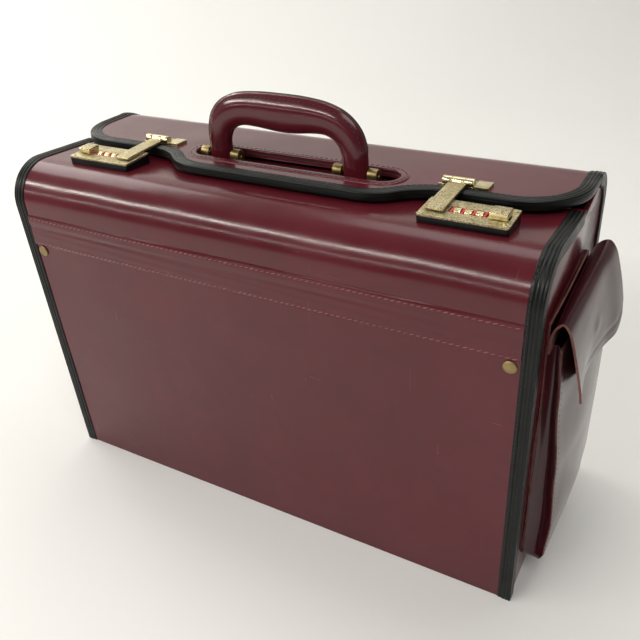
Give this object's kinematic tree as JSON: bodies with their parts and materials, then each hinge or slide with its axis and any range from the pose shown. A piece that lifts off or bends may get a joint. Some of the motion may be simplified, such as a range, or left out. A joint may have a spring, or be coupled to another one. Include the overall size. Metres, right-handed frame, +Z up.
{
  "type": "doctor bag",
  "caption": "Box-shaped leather doctor bag with a hinged lid, folding front section, upright handle, combination locks and an outside end pocket.",
  "frame": {"origin": "centre of the base, on the floor", "axes": "+X along the case towards the pocket end, +Y to the rear, +Z up"},
  "size_m": [0.4785, 0.1731, 0.355],
  "materials": {
    "leather": "glossy coated burgundy leather",
    "binding": "ribbed black edge binding",
    "brass": "hammered and polished brass",
    "dial": "knurled brass",
    "lock_plastic": "satin black",
    "red_plastic": "glossy red",
    "steel": "plain",
    "base_leather": "dull leather",
    "lining": "woven lining"
  },
  "bodies": {
    "case": {"bottom_panel": "base_leather", "base_board": "lining", "front_wall": "leather", "rear_wall": "leather", "end_panel_left": "leather", "end_panel_right": "leather", "front_hinge_band": "leather", "corner_rivets": "brass", "binding_front_left": "binding", "binding_front_right": "binding", "binding_rear_left": "binding", "binding_rear_right": "binding", "pocket_back": "leather", "pocket_gusset": "leather", "pocket_front": "leather", "pocket_flap_strip": "leather", "snap_stud": "brass"},
    "front_section": {"flap_panel": "leather", "binding_flap_left": "binding", "binding_flap_right": "binding", "binding_flap_rear": "binding", "handle_base": "brass", "handle_backing_plate": "steel", "handle_rivets": "brass", "lock_base_left": "lock_plastic", "lock_base_right": "lock_plastic", "lock_plate_left": "brass", "lock_plate_right": "brass", "lock_screws": "brass", "dial_axle_left": "steel", "dial_axle_right": "steel", "dial_spacers_left": "red_plastic", "dial_spacers_right": "red_plastic"},
    "lid": {"lid_panel": "leather", "lid_binding": "binding", "slot_rim": "leather", "hasp_leaf_left": "brass", "hasp_leaf_right": "brass", "hasp_pin_left": "brass", "hasp_pin_right": "brass"},
    "handle": {"handle_grip": "leather", "handle_frame": "steel", "handle_pins": "brass"},
    "pocket_flap": {"pocket_flap": "leather", "snap_socket": "lock_plastic"},
    "hasp_left": {"hasp_arm_left": "brass"},
    "button_left": {"lock_button_left": "brass"},
    "dial_left_1": {"dial_left_1": "dial"},
    "dial_left_2": {"dial_left_2": "dial"},
    "dial_left_3": {"dial_left_3": "dial"},
    "hasp_right": {"hasp_arm_right": "brass"},
    "button_right": {"lock_button_right": "brass"},
    "dial_right_1": {"dial_right_1": "dial"},
    "dial_right_2": {"dial_right_2": "dial"},
    "dial_right_3": {"dial_right_3": "dial"}
  },
  "joints": [
    {"name": "lid_hinge", "type": "hinge", "parent": "case", "child": "lid", "pos_m": [0, 0.0565, 0.301], "axis": [-1, 0, 0], "range_deg": [0, 110]},
    {"name": "front_section_hinge", "type": "hinge", "parent": "case", "child": "front_section", "pos_m": [0, -0.0865, 0.24315], "axis": [1, 0, 0], "range_deg": [0, 13.3]},
    {"name": "handle_hinge", "type": "hinge", "parent": "front_section", "child": "handle", "pos_m": [-0.0015, -0.0005, 0.302], "axis": [-1, 0, 0], "range_deg": [0, 95]},
    {"name": "pocket_flap_hinge", "type": "hinge", "parent": "case", "child": "pocket_flap", "pos_m": [0.237, -0.0065, 0.2535], "axis": [0, -1, 0], "range_deg": [0, 110]},
    {"name": "hasp_left_hinge", "type": "hinge", "parent": "lid", "child": "hasp_left", "pos_m": [-0.1298, 0.0005, 0.3059], "axis": [-1, 0, 0], "range_deg": [0, 120]},
    {"name": "button_left_slide", "type": "slide", "parent": "front_section", "child": "button_left", "axis": [-1, 0, 0], "range_m": [0, 0.0035], "stiffness_N_per_m": 400},
    {"name": "dial_left_1_turn", "type": "hinge", "parent": "front_section", "child": "dial_left_1", "pos_m": [-0.1438, -0.03925, 0.3013], "axis": [1, 0, 0], "continuous": true},
    {"name": "dial_left_2_turn", "type": "hinge", "parent": "front_section", "child": "dial_left_2", "pos_m": [-0.1513, -0.03925, 0.3013], "axis": [1, 0, 0], "continuous": true},
    {"name": "dial_left_3_turn", "type": "hinge", "parent": "front_section", "child": "dial_left_3", "pos_m": [-0.1588, -0.03925, 0.3013], "axis": [1, 0, 0], "continuous": true},
    {"name": "hasp_right_hinge", "type": "hinge", "parent": "lid", "child": "hasp_right", "pos_m": [0.1395, 0.0005, 0.3059], "axis": [-1, 0, 0], "range_deg": [0, 120]},
    {"name": "button_right_slide", "type": "slide", "parent": "front_section", "child": "button_right", "axis": [1, 0, 0], "range_m": [0, 0.0035], "stiffness_N_per_m": 400},
    {"name": "dial_right_1_turn", "type": "hinge", "parent": "front_section", "child": "dial_right_1", "pos_m": [0.1535, -0.03925, 0.3013], "axis": [1, 0, 0], "continuous": true},
    {"name": "dial_right_2_turn", "type": "hinge", "parent": "front_section", "child": "dial_right_2", "pos_m": [0.161, -0.03925, 0.3013], "axis": [1, 0, 0], "continuous": true},
    {"name": "dial_right_3_turn", "type": "hinge", "parent": "front_section", "child": "dial_right_3", "pos_m": [0.1685, -0.03925, 0.3013], "axis": [1, 0, 0], "continuous": true}
  ],
  "couplings": [
    {"joint": "front_section_hinge", "follows": "lid_hinge", "ratio": 0.12},
    {"joint": "handle_hinge", "follows": "lid_hinge", "ratio": 0.86}
  ]
}
